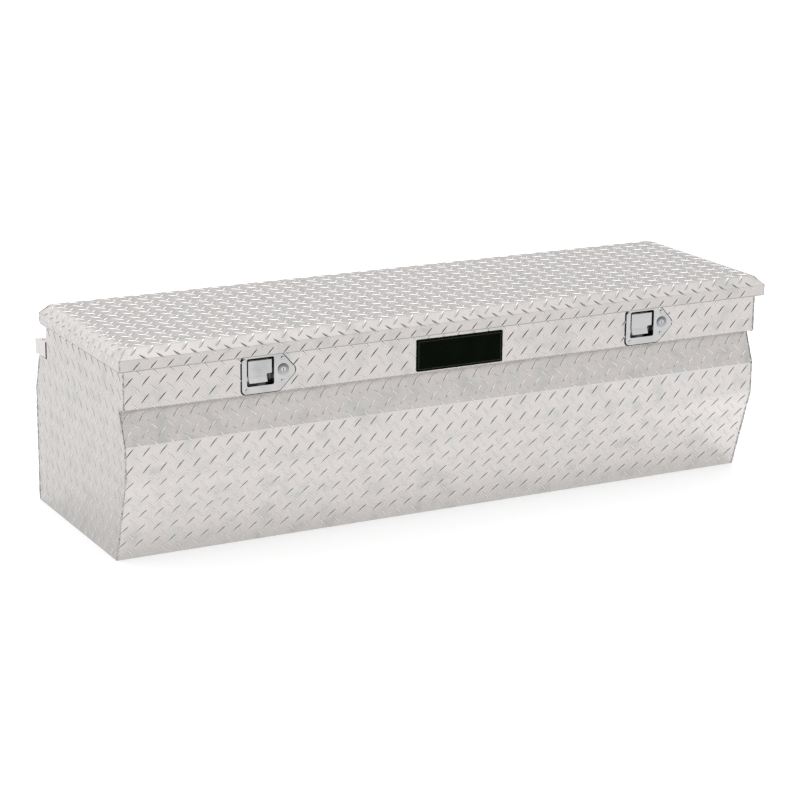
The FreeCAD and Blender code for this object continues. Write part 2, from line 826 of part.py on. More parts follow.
# ---- gas struts, right-hand one ------------------------------------------------------------
def strut_direction():
    """Unit vector from the lower to the upper pivot."""
    return Vector(0, strut_high[0] - strut_low[0], strut_high[1] - strut_low[1]).normalize()


def strut_point(distance):
    """Point on the strut's centre line, from its lower pivot."""
    return Vector(strut_x, *strut_low) + strut_direction() * distance


def strut_length():
    """Distance between the strut's pivots with the lid closed."""
    return math.hypot(strut_high[0] - strut_low[0], strut_high[1] - strut_low[1])


def strut_lower_bracket():
    """Plate on the end panel with the stud that the strut's foot turns on."""
    y, z = strut_low
    reach = half_inside - bracket_plate
    half_y, half_z = strut_foot_half
    foot = box(reach, half_inside, y - half_y, y + half_y, z - half_z, z + half_z)
    boss_x = strut_x + socket_half_width + strut_socket_gap
    boss = cylinder(boss_x, y, z, (1, 0, 0), stud_boss_radius, reach - boss_x)
    stud = cylinder(strut_x - socket_half_width, y, z, (1, 0, 0), stud_radius,
                    reach - strut_x + socket_half_width)
    return foot.fuse([boss, stud]).removeSplitter()


def strut_lower_socket():
    """Socket at the foot of the tube."""
    y, z = strut_low
    socket = cylinder(strut_x - socket_half_width, y, z, (1, 0, 0), socket_radius, 2 * socket_half_width)
    neck = Part.makeCylinder(strut_neck_radius, strut_tube_start, strut_point(0), strut_direction())
    bore = cylinder(strut_x - socket_half_width - over, y, z, (1, 0, 0), stud_radius + running_clearance,
                    2 * (socket_half_width + over))
    return drill(socket.fuse(neck), [bore])


def strut_tube():
    """Pressure tube, with a gland that the rod slides through."""
    start = strut_point(strut_tube_start)
    tube = Part.makeCylinder(strut_tube_radius, strut_tube_length, start, strut_direction())
    bore = Part.makeCylinder(strut_bore_radius, strut_tube_length - strut_end_wall - strut_gland_length,
                             strut_point(strut_tube_start + strut_end_wall), strut_direction())
    gland_start = strut_tube_start + strut_tube_length - strut_gland_length - over
    gland = Part.makeCylinder(strut_rod_radius + running_clearance, strut_gland_length + 2 * over,
                              strut_point(gland_start), strut_direction())
    return drill(tube, [bore, gland])


def strut_rod():
    """Rod with its piston."""
    piston_start = strut_tube_start + piston_gap
    piston = Part.makeCylinder(strut_bore_radius - running_clearance, piston_length,
                               strut_point(piston_start), strut_direction())
    rod = Part.makeCylinder(strut_rod_radius, strut_length() - socket_radius - piston_start,
                            strut_point(piston_start), strut_direction())
    return rod.fuse(piston)


def strut_upper_socket():
    """Closed cap at the head of the rod, which faces the stud on the lid."""
    y, z = strut_high
    cap = cylinder(strut_x - socket_half_width, y, z, (1, 0, 0), socket_radius, 2 * socket_half_width)
    neck_start = strut_length() - strut_cap_neck_length - strut_cap_neck_end
    neck = Part.makeCylinder(strut_cap_neck_radius, strut_cap_neck_length, strut_point(neck_start),
                             strut_direction())
    rod_end = strut_length() - socket_radius
    rod_hole = Part.makeCylinder(strut_rod_radius, rod_end - neck_start + over,
                                 strut_point(neck_start - over), strut_direction())
    return drill(cap.fuse(neck), [rod_hole])


def strut_upper_bracket():
    """Angle under the lid with the stud for the strut's head."""
    y, z = strut_high
    front, back = y - head_plate_half, y + head_plate_half
    inner = strut_x + socket_half_width + head_plate_gap
    outer = inner + bracket_plate
    drop = box(inner, outer, front, back, z - head_plate_drop, lid_underside)
    base = box(inner - head_plate_half, outer, front, back, lid_underside - bracket_plate, lid_underside)
    stud = cylinder(inner - head_plate_gap + head_stud_gap, y, z, (1, 0, 0), stud_radius, head_plate_gap)
    return drop.fuse([base, stud]).removeSplitter()


# ---- assembly ------------------------------------------------------------------------------
def nodes():
    """Every node of the tool box: its name and its solid or list of solids."""
    found = {
        "front_panel": front_panel(),
        "floor_panel": floor_panel(),
        "rear_panel": rear_panel(),
        "front_rim": front_rim(),
        "rear_rim": rear_rim(),
        "weather_seal": weather_seal(),
        "rear_rail": rear_rail(),
        "rear_rail_rivets": rail_rivets(),
        "tub_hinge_leaf": hinge_leaf(0, -1),
        "hinge_pin": hinge_pin(),
        "tub_hinge_rivets": hinge_rivets(-1),
        "badge_plate": badge_plate(),
        "lid_skin": lid_skin(),
        "lid_stiffener": lid_stiffener(),
        "lid_hinge_leaf": hinge_leaf(1, 1),
        "lid_hinge_rivets": hinge_rivets(1),
    }
    for hand, side in (("left", -1), ("right", 1)):
        found[f"{hand}_end_panel"] = end_panel(side)
        found[f"{hand}_rim"] = side_rim(side)
        for name, make in latch_pieces.items():
            found[f"{hand}_{name}"] = make(side * latch_x)
        for name, make in strut_pieces.items():
            found[f"{hand}_{name}"] = make() if side > 0 else mirrored(make())
    return found


latch_pieces = {
    "latch_gasket": latch_gasket,
    "latch_dish": latch_dish,
    "latch_rivets": latch_rivet_group,
    "latch_bracket": latch_bracket,
    "claw_pin": claw_pin,
    "paddle_pin": paddle_pin,
    "paddle_spring": paddle_spring,
    "lock_barrel": lock_barrel,
    "lock_nut": lock_nut,
    "striker": striker,
    "paddle": paddle,
    "claw": claw,
    "lock_plug": lock_plug,
    "lock_cam": lock_cam,
}
strut_pieces = {
    "strut_lower_bracket": strut_lower_bracket,
    "strut_upper_bracket": strut_upper_bracket,
    "strut_lower_socket": strut_lower_socket,
    "strut_tube": strut_tube,
    "strut_rod": strut_rod,
    "strut_upper_socket": strut_upper_socket,
}

os.makedirs("parts", exist_ok=True)
for node, made in nodes().items():
    solids = made if isinstance(made, list) else [made]
    shape = solids[0] if len(solids) == 1 else Part.makeCompound(solids)
    shape.exportStep(f"parts/{node}.step")
    print(node, len(shape.Solids), shape.isValid(), round(shape.Volume / 1000, 2))
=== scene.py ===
"""Looks of a chest-type truck tool box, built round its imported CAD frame.

Metres, +Z up, +X to the right along the length, the front faces -Y.
"""

import math

import bmesh
import bpy
import numpy as np
from mathutils import Matrix, Vector


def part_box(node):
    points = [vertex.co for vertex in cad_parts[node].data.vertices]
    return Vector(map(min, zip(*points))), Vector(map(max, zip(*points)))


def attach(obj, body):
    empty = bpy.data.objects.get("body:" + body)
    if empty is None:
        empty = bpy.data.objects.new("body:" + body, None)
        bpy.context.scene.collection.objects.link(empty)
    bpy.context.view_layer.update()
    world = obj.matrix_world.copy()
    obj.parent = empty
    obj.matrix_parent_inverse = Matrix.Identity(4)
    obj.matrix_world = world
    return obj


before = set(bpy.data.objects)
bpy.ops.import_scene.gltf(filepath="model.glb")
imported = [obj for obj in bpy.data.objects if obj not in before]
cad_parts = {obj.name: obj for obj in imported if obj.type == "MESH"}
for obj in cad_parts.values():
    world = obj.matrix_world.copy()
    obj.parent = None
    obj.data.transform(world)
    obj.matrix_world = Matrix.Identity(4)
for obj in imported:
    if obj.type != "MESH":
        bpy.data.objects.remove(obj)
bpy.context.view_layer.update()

mm = 0.001
scene = bpy.context.scene

# ---- camera ------------------------------------------------------------------------------------
camera_place = Vector((-2.448, -4.542, 1.652))
camera_yaw = math.radians(28.22)
camera_pitch = math.radians(15.74)
camera_roll = math.radians(-0.61)
camera_lens = 108.6
camera_reach = 200

# ---- light -------------------------------------------------------------------------------------
# Height of the light's direction (sine of its elevation) and half its brightness.
dome_light = ((0.0, 0.39), (0.25, 0.38), (0.30, 0.41), (0.37, 0.45), (0.45, 0.56), (0.6, 0.575),
              (0.85, 0.62), (0.93, 0.78), (1.0, 0.85))
dome_scale = 2.0
# Bright patches on the dome: the way to the middle, the glow, and the cosines where it starts and is full.
back_patch = ((0.22, 0.62, 0.75), 1.1, 0.86, 0.95)
left_patch = ((-0.27, 0.89, 0.36), 0.38, 0.87, 0.95)
# The dome is dimmer behind the camera: the share that is left, and the cosines as above.
dim_corner = (0.03, 0.70, 0.88)
floor_glow = 0.62
floor_half = 60.0

# ---- tread pattern -----------------------------------------------------------------------------
bar_length = 29 * mm
bar_width = 6.4 * mm
bar_height = 1.6 * mm
bar_angle = math.radians(47)
bar_sink = 0.15 * mm
bar_stations = 7
pitch_along = 36.45 * mm
pitch_down = 36.0 * mm

# How the pattern lies on each sheet: where the first row is, where a bar of it is along the box, and how
# far each row is shifted from the row before it.
upper_front_rows = (18.5 * mm, -747.9 * mm, -1.7 * mm)
lower_front_rows = (15.9 * mm, -750.8 * mm, -0.4 * mm)
lid_rows = (-304.3 * mm, -722.0 * mm, 0.7 * mm)
rear_rows = (20 * mm, -748 * mm, 0.0)
rail_rows = (30 * mm, -740 * mm, 0.0)
end_rows = (14 * mm, 9 * mm, 0.0)

# The bars' width, and on the ends their height too, as shares of the usual bar.
front_slim = 0.7
end_slim = 0.8
end_low = 0.6
lid_slim = 0.92
trim_steps = 12         # halvings to find where a bar is cut off
fold_margin = 2 * mm
rail_margin = 18 * mm
mitre_margin = 6 * mm

# ---- folded sheets -----------------------------------------------------------------------------
sheet = 2 * mm
outer_fold = 4 * mm      # radius of the visible face on the outside of a fold
inner_fold = 2 * mm      # and on the inside of one
fold_steps = 6
edge_angle = math.radians(35)
# Width of the rounded edges of the small parts, each of which comes left and right.
edge_widths = {"latch_dish": 0.5 * mm, "paddle": 0.6 * mm, "lock_barrel": 0.6 * mm, "lock_plug": 0.2 * mm}
badge_edge_width = 0.5 * mm
merge_gap = 0.01 * mm
least_edge = 0.02 * mm

# ---- weld beads --------------------------------------------------------------------------------
tub_weld_radius = 2.1 * mm
lid_weld_radius = 2.0 * mm
tub_weld_inset = 0.5 * mm
lid_weld_inset = 0.9 * mm
lid_weld_sink = 0.4 * mm
weld_seeds = {"front": 11, "rear": 21, "lid": 31}
weld_station_gap = 0.7 * mm
weld_jitter = 0.08 * mm
weld_taper = 0.05        # share of the bead's radius at its very ends
weld_lump_gap = 6 * mm
weld_lumps = (0.6, 1.25)
weld_ripple_gap = 2.6 * mm
weld_ripple = 0.20
weld_sides = 10
# A direction that no weld runs along, for laying out the bead's rings.
weld_off_axis = (1.0, 0.02, 0.03)

# ---- badge border ------------------------------------------------------------------------------
border_inset = 4.2 * mm
border_width = 0.9 * mm
border_height = 0.25 * mm
border_sink = 0.1 * mm

# ---- materials ---------------------------------------------------------------------------------
coat_roughness = 0.06
gloss_scale = 9         # how much finer the patches of gloss are than the patches of colour
wave_scale = 16.0
wave_strength = 0.5
ramp_start = 0.3
ramp_span = 0.4


def node(tree, kind, **values):
    """Adds a node, and sets its properties and unlinked inputs by name."""
    made = tree.nodes.new(kind)
    for key, value in values.items():
        if hasattr(made, key):
            setattr(made, key, value)
        else:
            made.inputs[key.replace("_", " ").capitalize()].default_value = value
    return made


def noise(tree, coordinates, scale, detail=3.0, stretch=(1, 1, 1)):
    """Noise over the object's own coordinates; a small stretch draws it out along that axis."""
    mapping = node(tree, "ShaderNodeMapping", Scale=stretch)
    tree.links.new(coordinates, mapping.inputs["Vector"])
    texture = node(tree, "ShaderNodeTexNoise", Scale=scale, Detail=detail)
    tree.links.new(mapping.outputs["Vector"], texture.inputs["Vector"])
    return texture.outputs["Fac"]


def spread(tree, value, low, high, start=0.35, stop=0.65):
    """Maps a value between start and stop, usually the middle of a noise, to a range."""
    found = node(tree, "ShaderNodeMapRange")
    for name, number in (("From Min", start), ("From Max", stop), ("To Min", low), ("To Max", high)):
        found.inputs[name].default_value = number
    tree.links.new(value, found.inputs["Value"])
    return found.outputs["Result"]


def combined(tree, operation, first, second):
    """Sum or product of two sockets."""
    made = node(tree, "ShaderNodeMath", operation=operation)
    tree.links.new(first, made.inputs[0])
    tree.links.new(second, made.inputs[1])
    return made.outputs["Value"]


def tinted(tree, value, colours):
    """Colour ramp through evenly spaced colours, over the middle of a noise value."""
    ramp = node(tree, "ShaderNodeValToRGB")
    elements = ramp.color_ramp.elements
    while len(elements) < len(colours):
        elements.new(0.5)
    for index, colour in enumerate(colours):
        elements[index].position = ramp_start + ramp_span * index / (len(colours) - 1)
        elements[index].color = (*colour, 1)
    tree.links.new(value, ramp.inputs["Fac"])
    return ramp.outputs["Color"]


def surface(name, colours, rough, metallic, blotch, grain, bump, stretch=(1, 1, 1), depth=0.1 * mm,
            coat=0.0, specular=0.5, waves=0.0):
    """Procedural finish: patchy colour, uneven gloss, a fine grain and, on sheets, shallow waves.

    rough is the lowest and highest roughness. blotch and grain are noise scales, bump and depth the
    grain's strength and height, stretch a brushed grain's direction, and waves the waves' height.
    """
    material = bpy.data.materials.new(name)
    material.use_nodes = True
    tree = material.node_tree
    shader = tree.nodes["Principled BSDF"]
    shader.inputs["Metallic"].default_value = metallic
    shader.inputs["Coat Weight"].default_value = coat
    shader.inputs["Coat Roughness"].default_value = coat_roughness
    shader.inputs["Specular IOR Level"].default_value = specular
    coordinates = node(tree, "ShaderNodeTexCoord").outputs["Object"]
    patches = noise(tree, coordinates, blotch, 4.0)
    fine = noise(tree, coordinates, grain, 2.0, stretch)
    tree.links.new(tinted(tree, patches, colours), shader.inputs["Base Color"])
    gloss = node(tree, "ShaderNodeMix")
    gloss.inputs["Factor"].default_value = 0.5
    tree.links.new(noise(tree, coordinates, blotch * gloss_scale), gloss.inputs["A"])
    tree.links.new(fine, gloss.inputs["B"])
    tree.links.new(spread(tree, gloss.outputs["Result"], *rough), shader.inputs["Roughness"])
    relief = node(tree, "ShaderNodeBump", Strength=bump, Distance=depth)
    tree.links.new(fine, relief.inputs["Height"])
    tree.links.new(relief.outputs["Normal"], shader.inputs["Normal"])
    if waves:
        swell = node(tree, "ShaderNodeBump", Strength=wave_strength, Distance=waves)
        tree.links.new(noise(tree, coordinates, wave_scale, 1.0), swell.inputs["Height"])
        tree.links.new(swell.outputs["Normal"], relief.inputs["Normal"])
    return material


def shaded(name, source, axis, levels):
    """Copy of a finish with painted shade and painted light in strips along an axis.

    levels are (place along the axis, share of the colour), in order.
    """
    material = source.copy()
    material.name = name
    tree = material.node_tree
    shader = tree.nodes["Principled BSDF"]
    parts = node(tree, "ShaderNodeSeparateXYZ")
    tree.links.new(node(tree, "ShaderNodeTexCoord").outputs["Object"], parts.inputs["Vector"])
    place = parts.outputs[axis]
    (start, dark), (stop, light) = levels[:2]
    share = spread(tree, place, dark, light, start, stop)
    for (start, dark), (stop, light) in zip(levels[1:], levels[2:]):
        share = combined(tree, "ADD", share, spread(tree, place, 0.0, light - dark, start, stop))
    dimmed = node(tree, "ShaderNodeVectorMath", operation="SCALE")
    tree.links.new(shader.inputs["Base Color"].links[0].from_socket, dimmed.inputs[0])
    tree.links.new(share, dimmed.inputs["Scale"])
    tree.links.new(dimmed.outputs["Vector"], shader.inputs["Base Color"])
    return material


def finishes():
    """The finish of every material slot in the record."""
    return {
        "tread_plate": surface(
            "tread_plate_finish",
            ((0.500, 0.488, 0.468), (0.553, 0.537, 0.524),
             (0.595, 0.556, 0.545), (0.545, 0.543, 0.532)),
            (0.18, 0.32), 1.0, blotch=26.0, grain=420.0, bump=0.22, depth=0.3 * mm, waves=1.5 * mm),
        "plain_aluminium": surface(
            "mill_aluminium", ((0.62, 0.62, 0.61), (0.68, 0.68, 0.68), (0.65, 0.65, 0.66)),
            (0.24, 0.38), 1.0, blotch=12.0, grain=260.0, stretch=(0.03, 1, 1), bump=0.10),
        "stainless": surface(
            "polished_stainless", ((0.40, 0.40, 0.405), (0.50, 0.50, 0.50), (0.45, 0.45, 0.445)),
            (0.14, 0.24), 1.0, blotch=14.0, grain=700.0, stretch=(0.04, 1, 1), bump=0.05),
        "zinc_steel": surface(
            "zinc_plate", ((0.50, 0.52, 0.55), (0.58, 0.58, 0.57), (0.54, 0.56, 0.60)),
            (0.25, 0.42), 1.0, blotch=45.0, grain=900.0, bump=0.10),
        "lock_chrome": surface(
            "bright_chrome", ((0.44, 0.44, 0.45), (0.52, 0.52, 0.53)),
            (0.07, 0.14), 1.0, blotch=60.0, grain=1500.0, bump=0.02),
        "strut_black": surface(
            "strut_paint", ((0.012, 0.012, 0.013), (0.020, 0.020, 0.022)),
            (0.22, 0.34), 0.0, blotch=30.0, grain=600.0, bump=0.08, coat=0.4),
        "seal_rubber": surface(
            "seal_rubber_finish", ((0.014, 0.014, 0.014), (0.028, 0.027, 0.026)),
            (0.62, 0.85), 0.0, blotch=40.0, grain=1300.0, bump=0.25, specular=0.3),
        "badge_black": surface(
            "badge_gloss", ((0.0025, 0.0042, 0.0022), (0.0042, 0.0062, 0.0038)),
            (0.10, 0.18), 0.0, blotch=25.0, grain=800.0, bump=0.03, specular=0.01),
    }


finish_of = finishes()
bar_finish = surface(
    "tread_bar_finish", ((0.66, 0.65, 0.64), (0.72, 0.70, 0.69), (0.68, 0.68, 0.67)),
    (0.05, 0.12), 1.0, blotch=14.0, grain=1100.0, bump=0.05)
weld_finish = surface(
    "weld_finish", ((0.16, 0.16, 0.16), (0.58, 0.58, 0.57), (0.30, 0.30, 0.30), (0.62, 0.62, 0.62)),
    (0.24, 0.42), 1.0, blotch=170.0, grain=1600.0, bump=0.15)
end_bar_finish = surface(
    "end_bar_finish", ((0.56, 0.55, 0.54), (0.64, 0.62, 0.61), (0.60, 0.59, 0.58)),
    (0.26, 0.40), 1.0, blotch=40.0, grain=700.0, bump=0.15)
border_finish = surface(
    "badge_border_finish", ((0.020, 0.026, 0.020), (0.045, 0.052, 0.045)),
    (0.20, 0.35), 0.0, blotch=60.0, grain=900.0, bump=0.03, specular=0.2)
floor_finish = surface(
    "floor_finish", ((0.50, 0.50, 0.50), (0.52, 0.52, 0.52)),
    (0.75, 0.85), 0.0, blotch=1.2, grain=40.0, bump=0.0, specular=0.1)
floor_shader = floor_finish.node_tree.nodes["Principled BSDF"]
floor_shader.inputs["Emission Color"].default_value = (1, 1, 1, 1)
floor_shader.inputs["Emission Strength"].default_value = floor_glow

for cad_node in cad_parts.values():
    for part in cad_node.material_slots:
        part.material = finish_of[part.material.name.split(".")[0]]


# ---- mesh helpers ------------------------------------------------------------------------------
def make_piece(name, points, faces, material, body, smooth=True):
    """New mesh piece that rides on a body."""
    mesh = bpy.data.meshes.new(name)
    mesh.from_pydata([tuple(point) for point in points], [], faces)
    mesh.polygons.foreach_set("use_smooth", [smooth] * len(mesh.polygons))
    mesh.materials.append(material)
    mesh.update()
    piece = bpy.data.objects.new(name, mesh)
    scene.collection.objects.link(piece)
    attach(piece, body)
    return piece


def tidy_mesh(piece):
    """Removes faces that have no area and makes normals point outward."""
    shape = bmesh.new()
    shape.from_mesh(piece.data)
    bmesh.ops.dissolve_degenerate(shape, dist=least_edge, edges=shape.edges[:])
    bmesh.ops.recalc_face_normals(shape, faces=shape.faces[:])
    shape.to_mesh(piece.data)
    shape.free()


def rounded_path(corners, outward):
    """Face of a folded sheet: points, outward normals and distance along it, with an arc at each fold.

    outward is -1 where the outside lies to the right of the path and 1 where it lies to the left.
    """
    corners = [np.array(corner, float) for corner in corners]
    points = [corners[0]]
    for before, corner, after in zip(corners, corners[1:], corners[2:]):
        back = (before - corner) / np.linalg.norm(before - corner)
        ahead = (after - corner) / np.linalg.norm(after - corner)
        half = (math.pi - math.acos(np.clip(back @ ahead, -1, 1))) / 2
        turn = ahead[1] * -back[0] + ahead[0] * back[1]
        radius = inner_fold if turn * outward > 0 else outer_fold
        middle = (back + ahead) / np.linalg.norm(back + ahead)
        centre = corner + middle * radius / math.cos(half)
        sideways = ahead - middle * (middle @ ahead)
        sideways /= np.linalg.norm(sideways)
        for angle in np.linspace(-half, half, fold_steps + 1):
            away = sideways * math.sin(angle) - middle * math.cos(angle)
            points.append(centre + away * radius)
    points.append(corners[-1])
    points = np.array(points)
    runs = np.diff(points, axis=0)
    lengths = np.linalg.norm(runs, axis=1)
    distance = np.concatenate([[0], np.cumsum(lengths)])
    flat = np.stack([-runs[:, 1], runs[:, 0]], 1) / lengths[:, None] * outward
    normals = np.vstack([flat[:1], flat[:-1] + flat[1:], flat[-1:]])
    normals /= np.linalg.norm(normals, axis=1)[:, None]
    return points, normals, distance


def on_path(path, where):
    """Points and normals of a path at distances along it."""
    points, normals, distance = path
    place = np.stack([np.interp(where, distance, points[:, axis]) for axis in (0, 1)], -1)
    facing = np.stack([np.interp(where, distance, normals[:, axis]) for axis in (0, 1)], -1)
    return place, facing / np.linalg.norm(facing, axis=-1, keepdims=True)


def soften(name, width):
    """Rounds the sharp edges of a CAD node."""
    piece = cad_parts[name]
    merge = piece.modifiers.new("weld", "WELD")
    merge.merge_threshold = merge_gap
    bevel = piece.modifiers.new("bevel", "BEVEL")
    bevel.width = width
    bevel.segments = 2
    bevel.limit_method = "ANGLE"
    bevel.angle_limit = edge_angle
    bevel.use_clamp_overlap = True
    piece.modifiers.new("normals", "WEIGHTED_NORMAL")


for part_name, edge_width in edge_widths.items():
    for hand in ("left", "right"):
        soften(f"{hand}_{part_name}", edge_width)
soften("badge_plate", badge_edge_width)


# ---- weld beads --------------------------------------------------------------------------------
def weld_bead(name, body, route, radius, seed):
    """Rippled bead along a route of points."""
    random = np.random.default_rng(seed)
    route = np.array(route, float)
    distance = np.concatenate([[0], np.cumsum(np.linalg.norm(np.diff(route, axis=0), axis=1))])
    count = int(distance[-1] / weld_station_gap)
    where = np.linspace(0, distance[-1], count)
    line = np.stack([np.interp(where, distance, route[:, axis]) for axis in range(3)], -1)
    line += random.normal(0, weld_jitter, line.shape)
    ahead = np.gradient(line, axis=0)
    ahead /= np.linalg.norm(ahead, axis=1)[:, None]
    side = np.cross(ahead, weld_off_axis)
    side /= np.linalg.norm(side, axis=1)[:, None]
    up = np.cross(ahead, side)
    knots = np.arange(0, distance[-1] + 2 * weld_lump_gap, weld_lump_gap)
    lumps = np.interp(where, knots, random.uniform(*weld_lumps, len(knots)))
    ripple = 1 - weld_ripple + weld_ripple * np.abs(np.sin(where / weld_ripple_gap * math.pi))
    to_end = np.minimum(where, distance[-1] - where)
    taper = np.clip(to_end / (2 * radius), weld_taper, 1) ** 0.5
    around = np.linspace(0, 2 * math.pi, weld_sides, endpoint=False)
    size = (radius * lumps * ripple * taper)[:, None, None]
    ring = side[:, None] * np.cos(around)[:, None] + up[:, None] * np.sin(around)[:, None]
    points = (line[:, None] + ring * size).reshape(-1, 3)
    faces = []
    for row in range(0, (count - 1) * weld_sides, weld_sides):
        for step in range(weld_sides):
            beside = (step + 1) % weld_sides
            faces.append((row + step, row + beside, row + weld_sides + beside, row + weld_sides + step))
    faces.append(tuple(reversed(range(weld_sides))))
    faces.append(tuple(range((count - 1) * weld_sides, count * weld_sides)))
    tidy_mesh(make_piece(name, points, faces, weld_finish, body))


# ---- tread bars --------------------------------------------------------------------------------
def bar_shape():
    """One raised bar: (along, across, rise) points and faces of a pointed oval with a round ridge."""
    across = np.array([-1, -0.6, 0, 0.6, 1])    # shares of half the width
    rise = np.array([0, 0.66, 1, 0.66, 0])      # and of the height
    along = np.sin(np.linspace(-1, 1, bar_stations + 2)[1:-1] * math.pi / 2)
    points = [(-1, 0, 0)]
    for place in along:
        width = (1 - place ** 2) ** 0.7         # pointed ends
        crown = (1 - place ** 4) ** 0.8         # a long flat ridge
        points += [(place, side * width, up * crown) for side, up in zip(across, rise)]
    points.append((1, 0, 0))
    columns, last = len(across), len(points) - 1
    faces = []
    for row in range(bar_stations - 1):
        for column in range(columns - 1):
            corner = 1 + row * columns + column
            faces.append((corner, corner + columns, corner + columns + 1, corner + 1))
    for column in range(columns - 1):
        faces.append((0, 1 + column, 2 + column))
        faces.append((last, last - column - 1, last - column - 2))
    first_side = [1 + row * columns for row in range(bar_stations)]
    other_side = [columns + row * columns for row in range(bar_stations)]
    faces.append((0, *other_side, last, *reversed(first_side)))
    scale = np.array([bar_length / 2, bar_width / 2, bar_height + bar_sink])
    return np.array(points) * scale - np.array([0, 0, bar_sink]), faces


def lattice(low, high, rows, pitch, end):
    """Bar centres and angles: rows of bars that lean one way, and between them rows that lean the other.

    The bars lie from low to high along their row. rows is one of the tuples at the top, pitch is the
    distance from row to row, and end is where the rows stop.
    """
    first, phase, shift = rows
    centres, angles = [], []
    for row in range(-1, int((end - first) / pitch) + 2):
        for half, angle in ((0.0, bar_angle), (0.5, -bar_angle)):
            start = phase + (row + half) * shift + half * pitch_along
            start += math.ceil((low - start) / pitch_along) * pitch_along
            across = first + (row + half) * pitch
            for along in np.arange(start, high, pitch_along):
                centres.append((along, across))
                angles.append(angle)
    return np.array(centres), np.array(angles)


def laid_bars(centres, angles, down, slim=1.0, low=1.0):
    """Every bar's points (bar, point, along/across/rise); down is -1 where the second axis runs down.

    slim and low are shares of the usual bar's width and height.
    """
    shape = bar_shape()[0] * (1.0, slim, low)
    cos, sin = np.cos(angles)[:, None], np.sin(angles)[:, None] * down
    along = centres[:, :1] + shape[None, :, 0] * cos - shape[None, :, 1] * sin
    across = centres[:, 1:] + shape[None, :, 0] * sin + shape[None, :, 1] * cos
    return along, across, np.broadcast_to(shape[:, 2], along.shape)


def inside(polygon, x, y):
    """Which points lie inside a closed outline."""
    found = np.zeros(np.shape(x), bool)
    for (x0, y0), (x1, y1) in zip(polygon, np.roll(polygon, -1, axis=0)):
        crosses = (y0 > y) != (y1 > y)
        with np.errstate(divide="ignore", invalid="ignore"):
            found ^= crosses & (x < (x1 - x0) * (y - y0) / (y1 - y0) + x0)
    return found


def pulled_back(start, along, across, allowed):
    """Bar points, moved towards the centre of their bar until they are where they may be."""
    low_reach, high_reach = np.zeros(along.shape), np.ones(along.shape)
    for _ in range(trim_steps):
        reach = (low_reach + high_reach) / 2
        good = allowed(start[:, :1] + (along - start[:, :1]) * reach,
                       start[:, 1:] + (across - start[:, 1:]) * reach)
        low_reach = np.where(good, reach, low_reach)
        high_reach = np.where(good, high_reach, reach)
    reach = np.where(allowed(along, across), 1.0, low_reach)
    return start[:, :1] + (along - start[:, :1]) * reach, start[:, 1:] + (across - start[:, 1:]) * reach


def bar_piece(name, body, points, finish=bar_finish):
    """One piece from the points of all its bars."""
    _, faces = bar_shape()
    bars, per_bar, _ = points.shape
    all_faces = [tuple(corner + bar * per_bar for corner in face) for bar in range(bars) for face in faces]
    tidy_mesh(make_piece(name, points.reshape(-1, 3), all_faces, finish, body))


# ---- where the sheets are ----------------------------------------------------------------------
# The boxes give the outer faces, and the folds between them are set off from those.
panel_low, panel_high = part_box("front_panel")
rear_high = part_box("rear_panel")[1]
rail_low, rail_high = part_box("rear_rail")
badge_low, badge_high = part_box("badge_plate")
lid_low, lid_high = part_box("lid_skin")
half_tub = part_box("right_end_panel")[1].x
upper_front = badge_high.y
middle_front = panel_low.y
shoulder_height = rail_low.z
waist_height = shoulder_height - 8 * mm
waist_front = middle_front + 27 * mm
floor_front = panel_high.y - sheet
upper_bottom = waist_height + 5 * mm
band_bottom = waist_height - 69 * mm
crease_height = band_bottom - 68 * mm
waist_back = rear_high.y - 25 * mm
lid_bevel = 20 * mm
rail_slope = 9 * mm
rail_flange = 14 * mm
rail_lip = 34 * mm
rail_top = rail_high.z - rail_slope - rail_flange
paddle_lip = 13 * mm        # height of the flared lip at the paddle's lower edge
plate_shoulder = 86 * mm    # from the latch plate's left edge to where its point starts

front_corners = [
    (upper_front, panel_high.z),
    (upper_front, upper_bottom),
    (waist_front, waist_height),
    (middle_front, band_bottom),
    (middle_front, crease_height),
    (floor_front, 0.0),
]
rear_corners = [
    (rear_high.y, 0.0),
    (rear_high.y, band_bottom),
    (waist_back, shoulder_height),
    (lid_high.y, shoulder_height),
    (lid_high.y, rear_high.z),
]
rail_corners = [
    (lid_high.y + sheet, rail_high.z),
    (lid_high.y + sheet, rail_top + rail_slope),
    (rail_high.y, rail_top),
    (rail_high.y, shoulder_height),
    (rail_low.y + rail_lip, shoulder_height),
]


def latch_outline(hand):
    """Outline of one latch plate, without its rounded corners."""
    low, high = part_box(f"{hand}_latch_dish")
    shoulder = low.x + plate_shoulder
    middle = (low.z + high.z) / 2
    return np.array([
        (low.x, low.z), (shoulder, low.z), (high.x, middle), (shoulder, high.z), (low.x, high.z)])


def sheet_bars(name, corners, outward, rows, skip=(), margin=0.0, slim=1.0):
    """Bars on a sheet that is folded along X, cut off at the outlines to skip.

    No bar's centre is nearer than the margin to the sheet's edges.
    """
    path = rounded_path(corners, outward)
    end = path[2][-1]
    centres, angles = lattice(-half_tub, half_tub, rows, pitch_down, end)
    place, _ = on_path(path, centres[:, 1])
    keep = (centres[:, 1] > margin) & (centres[:, 1] < end - margin)
    for outline in skip:
        keep &= ~inside(outline, centres[:, 0], place[:, 1])
    along, across, rise = laid_bars(centres[keep], angles[keep], -1, slim)
    along = np.clip(along, -half_tub, half_tub)
    for outline in skip:
        along, across = pulled_back(centres[keep], along, across, lambda x, down: ~inside(
            outline, x, on_path(path, np.clip(down, 0, end))[0][..., 1]))
    place, facing = on_path(path, np.clip(across, 0, end))
    place = place + facing * rise[..., None]
    bar_piece(name, "tub", np.stack([along, place[..., 0], place[..., 1]], -1))


